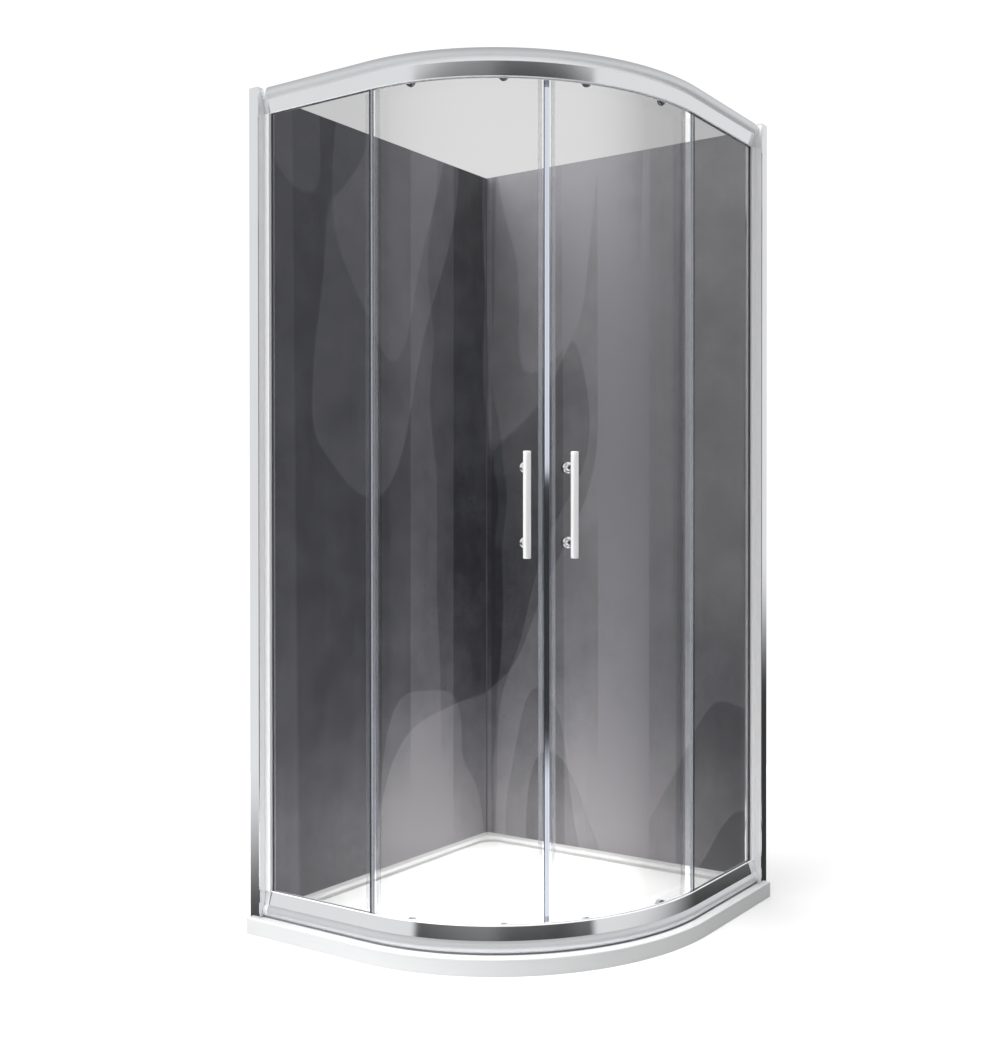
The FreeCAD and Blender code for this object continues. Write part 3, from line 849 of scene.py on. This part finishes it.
def front_run(bm, section, start):
    """Draws a section along the cabin's front, from its left end to its right one."""
    run = bend_centre().x - start
    end = drawn_out(bm, [section], (run, 0, 0))[0]
    turned = bmesh.ops.spin(
        bm, geom=[end, *end.edges, *end.verts], cent=bend_centre(), axis=UP, angle=pi / 2, steps=BEND_STEPS
    )
    last = picked(turned["geom_last"], BMFace)
    drawn_out(bm, last, (0, run, 0))
    cleared(bm, last)


class CABIN_OT_posts(bpy.types.Operator):
    """Finishes the posts, caps and stops, and makes the channel covers and bracket screws"""

    bl_idname = "cabin.posts"
    bl_label = "Posts and screws"

    def execute(self, context):
        shades = colours()
        dress(bright_metal("post_metal", shades.metal, 0.06), "post_caps", *both("wall_post"))
        satin = satin_metal("post_satin", shades.handle, 0.12)
        dress(satin, *both("glass_post"))
        settle(channel_covers(), "channel_covers", satin, "frame", "profile")
        dress(rubber("stop_rubber", (0.05, 0.05, 0.055)), "door_stops")
        steel = bright_metal("screw_steel", shades.metal, 0.2)
        settle(bracket_screws(), "bracket_screw_heads", steel, "frame", "screw", "bracket_screws")
        return {"FINISHED"}


def channel_covers():
    """Flat strips in the mouths of the wall posts, beside the ends of the rails."""
    covers = []
    low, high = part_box("left_wall_post")
    glass_low, glass_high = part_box("left_glass_post")
    wall = sizes().rail_wall
    front = low.y + wall
    back = low.y + sizes().post_width - wall
    recess = 0.0004
    thickness = 0.0015
    rounding = 0.0003
    outer = high.x - recess
    inner = outer - thickness
    for base, top in ((low.z, glass_low.z), (glass_high.z, high.z)):
        bm = bmesh.new()
        verts = [bm.verts.new((inner, y, base)) for y in (front, back)]
        verts += [bm.verts.new((outer, y, base)) for y in (back, front)]
        drawn_out(bm, [bm.faces.new(verts)], (0, 0, top - base))
        bmesh.ops.recalc_face_normals(bm, faces=bm.faces)
        soften(bm, rounding)
        covers += [moved(bm.copy(), turn) for turn in SIDES.values()]
        bm.free()
    return joined(covers)


def bracket_screws():
    """Pan heads with a cross recess, on the inner faces of the rails' brackets."""
    heads = []
    facing = Matrix.Rotation(-pi / 2, 4, "X")
    for name in ("left_top_rail_bracket", "left_bottom_rail_bracket"):
        low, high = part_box(name)
        spot = screw_spot(name, low, high)
        for turn in SIDES.values():
            heads.append(moved(screw_head(), turn @ Matrix.Translation(spot) @ facing))
    return joined(heads)


def screw_spot(name, low, high):
    """Where a bracket's screw sits: on its inner face, in the middle of the wheels' track."""
    size = sizes()
    middle = (size.track_level + size.plate_level - size.rail_wall) / 2
    height = high.z - middle if "top" in name else low.z + middle
    from_rail_end = 0.007
    return Vector((size.rail_start - size.half - from_rail_end, size.rail_back - size.half, height))


def screw_head():
    """A pan head with a cross recess, its foot at zero."""
    radius = sizes().screw
    height = 0.75 * radius
    bm = lathe([(0, 0), (radius, 0), (radius, 0.45 * height), (0.72 * radius, height), (0, height)], 32)
    soften(bm, 0.08 * radius)
    arm = 0.12 * radius
    reach = 0.52 * radius
    cuts = [(normal, away) for normal in ((1, 0, 0), (0, 1, 0)) for away in (-reach, -arm, arm, reach)]
    sliced(bm, *cuts)

    def in_cross(spot):
        near, far = sorted((abs(spot.x), abs(spot.y)))
        return near < arm and far < reach

    pressed(bm, height, in_cross, 0.5 * height)
    return bm


class CABIN_OT_panes(bpy.types.Operator):
    """Finishes the panes and the soft strips on their edges"""

    bl_idname = "cabin.panes"
    bl_label = "Glass and strips"

    def execute(self, context):
        shades = colours()
        dress(clear_glass("pane_glass", shades.glass), *both("fixed_glass", "door_glass"))
        dress(lap_vinyl("lap_strip", shades.vinyl), *both("fixed_edge_seal"))
        dress(magnet_vinyl("magnet_strip", shades.vinyl), *both("magnet_seal"))
        dress(clear_vinyl("fin_strip", shades.vinyl, 0.08), *both("fin_seal"))
        dress(rubber("gasket_vinyl", (0.62, 0.63, 0.65)), "post_gaskets")
        return {"FINISHED"}


class CABIN_OT_handles(bpy.types.Operator):
    """Makes the handles: bars, posts with rosettes, and inner caps"""

    bl_idname = "cabin.handles"
    bl_label = "Handles"

    def execute(self, context):
        satin = satin_metal("handle_satin", colours().handle, 0.35)
        chrome = bright_metal("rosette_chrome", colours().handle, 0.08)
        for side, turn in SIDES.items():
            body = side + "_door"
            settle(moved(handle_bar(), turn), side + "_bar", satin, body, "handle", side + "_handle_bar")
            posts = [moved(handle_post(), turn @ spot) for spot in handle_spots()]
            settle(joined(posts), side + "_posts", chrome, body, "handle", side + "_handle_posts")
            caps = [moved(handle_cap(), turn @ spot) for spot in handle_spots()]
            settle(joined(caps), side + "_caps", chrome, body, "handle", side + "_handle_caps")
        return {"FINISHED"}


def handle_spots():
    """Where the two posts of the left handle stand."""
    size = sizes()
    offset = size.handle_spacing / 2
    return [on_door(size.handle_angle, size.handle_height + shift) for shift in (-offset, offset)]


def handle_bar():
    """A round bar with softened ends and a fine groove near each."""
    size = sizes()
    half = size.handle_length / 2
    radius = size.handle_radius
    end_round = 0.0016
    cut = 0.0005
    neck = radius - cut
    groove_from_end = 0.0095
    groove = half - groove_from_end
    upper = [(radius, groove - 2 * cut), (neck, groove - cut), (neck, groove), (radius, groove + cut)]
    lower = [(r, -z) for r, z in reversed(upper)]
    bm = lathe([(0, -half), (radius, -half), *lower, *upper, (radius, half), (0, half)], 40)
    rounded(bm, rim_edges(bm, half, cut), end_round, 4)
    spot = bend_centre() + UP * size.handle_height
    turn = Matrix.Rotation(size.handle_angle - pi / 2, 4, "Z")
    reach = Matrix.Translation((size.door_outer + size.handle_reach, 0, 0))
    return moved(bm, Matrix.Translation(spot) @ turn @ reach)


def handle_post():
    """A rosette on the pane, the post to the bar and the stud through the pane."""
    size = sizes()
    outer = size.door_outer
    stud_past_pane = 0.005
    inner = outer - size.pane - stud_past_pane
    rise = outer + size.rosette_height
    end = outer + size.handle_reach - 0.8 * size.handle_radius
    collar = 0.0015
    rim = 0.0009
    return lathe([
        (0, inner), (size.handle_stud, inner), (size.handle_stud, outer), (size.rosette, outer),
        (size.rosette, rise - rim), (size.rosette - rim / 3, rise - rim / 3), (size.rosette - rim, rise),
        (size.handle_post + collar, rise), (size.handle_post + 0.3 * collar, rise + 0.7 * collar),
        (size.handle_post, rise + 2 * collar), (size.handle_post, end), (0, end),
    ], 40)


def handle_cap():
    """A domed cap on the inner side of the pane."""
    size = sizes()
    face = size.door_outer - size.pane - size.pad_gap
    depth = 0.007
    taper = 0.001
    dome = 0.0022
    front = face - depth
    bm = lathe([(0, front), (size.rosette - taper, front), (size.rosette, face), (0, face)], 40)
    rounded(bm, rim_edges(bm, front, taper), dome, 4)
    return bm


class CABIN_OT_rollers(bpy.types.Operator):
    """Finishes the rollers of the doors and makes their plates, buttons and wheels"""

    bl_idname = "cabin.rollers"
    bl_label = "Rollers"

    def execute(self, context):
        shades = colours()
        plated = bright_metal("roller_plating", shades.metal, 0.12)
        dress(plated, *both("top_roller_studs", "bottom_roller_studs"))
        nylon = plastic("wheel_nylon", (0.75, 0.75, 0.73), 0.35)
        pale = plastic("guide_plastic", (0.62, 0.63, 0.65), 0.25)
        grey = plastic("button_plastic", (0.30, 0.31, 0.33), 0.3)
        size = sizes()
        places = {"rear": size.rear_roller, "front": size.front_roller}
        for side, turn in SIDES.items():
            body = side + "_door"
            top = middle_height(side + "_hanger_caps")
            base = middle_height(side + "_guide_bodies")
            caps = [moved(roller_cap(), turn @ on_door(place, top)) for place in places.values()]
            settle(joined(caps), side + "_roller_caps", plated, body, "roller_cap", side + "_hanger_caps")
            guides = [moved(guide_body(), turn @ on_door(place, base)) for place in places.values()]
            settle(joined(guides), side + "_guides", pale, body, "roller_cap", side + "_guide_bodies")
            for end, place in places.items():
                name = side + "_" + end + "_release_button"
                spot = turn @ on_door(place, base + size.button_rise)
                settle(moved(release_button(), spot), name + "_knob", grey, name, "button", name)
                for level, height in (("_top_", top), ("_bottom_", base)):
                    name = side + level + end + "_wheel"
                    shape = moved(wheel(), turn @ on_door(place, height))
                    settle(shape, name + "_tyre", nylon, name, "wheel", name)
        return {"FINISHED"}


def middle_height(node):
    """The height of a CAD node's middle."""
    low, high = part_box(node)
    return (low.z + high.z) / 2


def round_plate(low, high, bore=None):
    """An upright round-ended plate, with an optional round hole above its middle."""
    size = sizes()
    steps = 32
    bm = bmesh.new()
    half_step = Matrix.Rotation(pi / steps, 4, "Z")
    radius = size.cap_width / 2
    bmesh.ops.create_circle(bm, cap_ends=False, segments=steps, radius=radius, matrix=half_step)
    reach = (size.cap_height - size.cap_width) / 2
    for way in (-1, 1):
        ends = [vert for vert in bm.verts if vert.co.x * way > 0]
        bmesh.ops.translate(bm, vec=(way * reach, 0, 0), verts=ends)
    if bore:
        rise = Matrix.Translation((-size.button_rise, 0, 0))
        bmesh.ops.create_circle(bm, cap_ends=False, segments=24, radius=bore, matrix=rise)
    bmesh.ops.triangle_fill(bm, edges=bm.edges[:], use_beauty=True)
    drawn_out(bm, bm.faces[:], (0, 0, high - low))
    bmesh.ops.translate(bm, vec=(0, 0, low), verts=bm.verts)
    bmesh.ops.recalc_face_normals(bm, faces=bm.faces)
    rounding = 0.0007
    soften(bm, rounding)
    return bm


def roller_cap():
    """The inner plate of an upper roller, with a slotted dial."""
    size = sizes()
    back = size.door_outer - size.pane - size.pad_gap
    front = back - size.cap_depth
    knob = moved(dial(), Matrix.Translation((0, 0, front)) @ Matrix.Rotation(pi, 4, "X"))
    return joined([round_plate(front, back), knob])


def guide_body():
    """The inner body of a lower roller, bored for its release button."""
    size = sizes()
    back = size.door_outer - size.pane - size.pad_gap
    play = 0.0002
    return round_plate(back - size.guide_depth, back, size.button + play)


def release_button():
    """A round button with a softened rim and a shallow dish."""
    size = sizes()
    radius = size.button
    body = size.door_outer - size.pane - size.pad_gap - size.guide_depth
    front = body - size.button_proud
    back = body + size.button_grip
    dish = 0.0004
    rim = 0.0009
    return lathe([
        (0, front + dish), (0.7 * radius, front + dish / 4), (0.85 * radius, front),
        (0.96 * radius, front + rim / 3), (radius, front + rim), (radius, back), (0, back),
    ], 28)


def wheel():
    """A nylon wheel with a crowned tread and a web between its hub and its rim."""
    size = sizes()
    low = size.bend - size.wheel_inset
    high = low + size.wheel_width
    outer = size.wheel
    play = 0.00005
    bore = size.axle + play
    hub = 2.1 * size.axle
    web = 0.0008
    shoulder = 0.0006
    crown = 0.0018
    side = [(bore, low), (hub, low), (hub, low + web), (0.78 * outer, low + web)]
    side += [(0.80 * outer, low), (outer - shoulder, low), (outer, low + crown)]
    far = [(radius, low + high - level) for radius, level in reversed(side)]
    return lathe([*side, *far, side[0]], 40)


def dial():
    """A round dial with a slot, its foot at zero."""
    radius = sizes().dial
    height = 0.0025
    bm = lathe([(0, 0), (radius, 0), (radius, 0.8 * height), (0.93 * radius, height), (0, height)], 32)
    slot = 0.0008
    reach = 0.86 * radius
    sliced(bm, ((0, 1, 0), -slot), ((0, 1, 0), slot), ((1, 0, 0), -reach), ((1, 0, 0), reach))
    pressed(bm, height, lambda spot: abs(spot.y) < slot and abs(spot.x) < reach, 0.5 * height)
    return bm


class CABIN_OT_stage(bpy.types.Operator):
    """Sets the floor, the light and the camera"""

    bl_idname = "cabin.stage"
    bl_label = "Studio"

    def execute(self, context):
        scene = context.scene
        settings = studio()
        scene.view_settings.view_transform = "Standard"
        pale_floor(settings)
        light_dome(scene, settings)
        lamp("overhead", settings.overhead, settings.overhead_spread, Matrix())
        turn = Matrix.Rotation(settings.azimuth + settings.front_aside, 4, "Z")
        tilt = Matrix.Rotation(settings.front_tilt, 4, "X")
        lamp("front", settings.front, settings.front_spread, turn @ tilt)
        soft_box(settings)
        scene.camera = photo_camera(scene, settings)
        return {"FINISHED"}


def pale_floor(settings):
    """A pale round floor under the tray."""
    bpy.ops.mesh.primitive_circle_add(vertices=96, radius=settings.floor_radius, fill_type="NGON")
    floor = bpy.context.object
    floor.name = "floor"
    finish = Finish("floor_pale")
    cloud = finish.noise(finish.place(), 1.5, 2.0)
    finish.set(Base_Color=finish.mix(cloud, (0.63, 0.63, 0.63), (0.61, 0.61, 0.61)), Roughness=0.8)
    floor.data.materials.append(finish.material)
    floor.visible_glossy = False


def light_dome(scene, settings):
    """A soft pale dome over a dark room, which rises a little behind the camera."""
    world = bpy.data.worlds.new("studio")
    scene.world = world
    world.use_nodes = True
    tree = Tree(world.node_tree)
    direction = tree.node("ShaderNodeTexCoord", {}, {}, 0)
    x, y, z = tree.parts(direction)

    def backward(turn):
        """How far a direction points back at a viewer who looks that way."""
        return x * sin(turn) - y * cos(turn)

    deep_turn = settings.azimuth + radians(16)
    backdrop = 1.05
    behind = backward(settings.azimuth).band(0.67, 0.73)
    deep = backward(deep_turn).band(0.90, 0.99)
    near_room = (1 - z.band(0.028, 0.038)) * z.band(-0.21, -0.17)
    right = (x * cos(settings.azimuth) + y * sin(settings.azimuth)).band(0.3, 0.7)
    drop = (1 - right) * 0.16
    low_room = (1 - (z + drop).band(-0.14, -0.03)) * z.band(-0.46, -0.40)
    shade = behind * near_room + (1 - behind) * low_room
    dark = settings.dark + behind * (1 - deep) * z.band(-0.03, 0.01) * 0.16
    light = 1.0 - z.band(-0.45, 0.05) * 0.14 - z.band(0.35, 0.85) * 0.36
    level = light * (1 - shade) + dark * shade
    rays = tree.node("ShaderNodeLightPath", {}, {}).socket.node.outputs
    seen = Shade(tree, rays["Is Camera Ray"])
    mirrored = Shade(tree, rays["Is Glossy Ray"])
    strength = settings.dome + mirrored * (settings.gleam - settings.dome)
    background = tree.tree.nodes["Background"]
    tree.feed(background.inputs["Color"], (1.0, 1.0, 1.0, 1.0))
    tree.feed(background.inputs["Strength"], level * strength * (1 - seen) + seen * backdrop)


def lamp(name, strength, spread, aim):
    """A distant light, which shines down until it is aimed."""
    data = bpy.data.lights.new(name, "SUN")
    data.energy = strength
    data.angle = spread
    made = bpy.data.objects.new(name, data)
    made.matrix_world = aim
    made.visible_glossy = False
    bpy.context.scene.collection.objects.link(made)


def soft_box(settings):
    """A gridded soft box over the open top, which lights the basin."""
    data = bpy.data.lights.new("soft_box", "AREA")
    data.shape = "DISK"
    data.size = settings.box_width
    data.spread = settings.box_spread
    data.energy = settings.basin
    made = bpy.data.objects.new("soft_box", data)
    made.location = bend_centre() + UP * settings.box_height
    made.visible_camera = False
    made.visible_glossy = False
    bpy.context.scene.collection.objects.link(made)


def photo_camera(scene, settings):
    """A camera in the place of the photo's."""
    data = bpy.data.cameras.new("camera")
    data.lens = settings.lens
    data.sensor_width = 36.0
    data.shift_x = settings.shift
    camera = bpy.data.objects.new("camera", data)
    scene.collection.objects.link(camera)
    across = sin(settings.azimuth)
    along = cos(settings.azimuth)
    camera.location = (
        across * settings.distance + along * settings.aside,
        -along * settings.distance + across * settings.aside,
        settings.height,
    )
    camera.rotation_euler = (pi / 2 - settings.pitch, 0.0, settings.azimuth)
    return camera


class CABIN_PT_sidebar(bpy.types.Panel):
    """Lists the cabin's pieces"""

    bl_label = "Shower cabin"
    bl_idname = "CABIN_PT_sidebar"
    bl_space_type = "VIEW_3D"
    bl_region_type = "UI"
    bl_category = "Cabin"

    def draw(self, context):
        for operator in PIECES:
            self.layout.operator(operator.bl_idname)


PIECES = (
    CABIN_OT_tray,
    CABIN_OT_panels,
    CABIN_OT_sealant,
    CABIN_OT_rails,
    CABIN_OT_posts,
    CABIN_OT_panes,
    CABIN_OT_handles,
    CABIN_OT_rollers,
    CABIN_OT_stage,
)
CLASSES = (CabinSizes, CabinColours, CabinStudio, *PIECES, CABIN_PT_sidebar)


def register():
    for kind in CLASSES:
        bpy.utils.register_class(kind)
    bpy.types.Scene.cabin_sizes = bpy.props.PointerProperty(type=CabinSizes)
    bpy.types.Scene.cabin_colours = bpy.props.PointerProperty(type=CabinColours)
    bpy.types.Scene.cabin_studio = bpy.props.PointerProperty(type=CabinStudio)


def unregister():
    del bpy.types.Scene.cabin_studio
    del bpy.types.Scene.cabin_colours
    del bpy.types.Scene.cabin_sizes
    for kind in reversed(CLASSES):
        bpy.utils.unregister_class(kind)


def main():
    register()
    for operator in PIECES:
        group, name = operator.bl_idname.split(".")
        getattr(getattr(bpy.ops, group), name)()


if __name__ == "__main__":
    main()
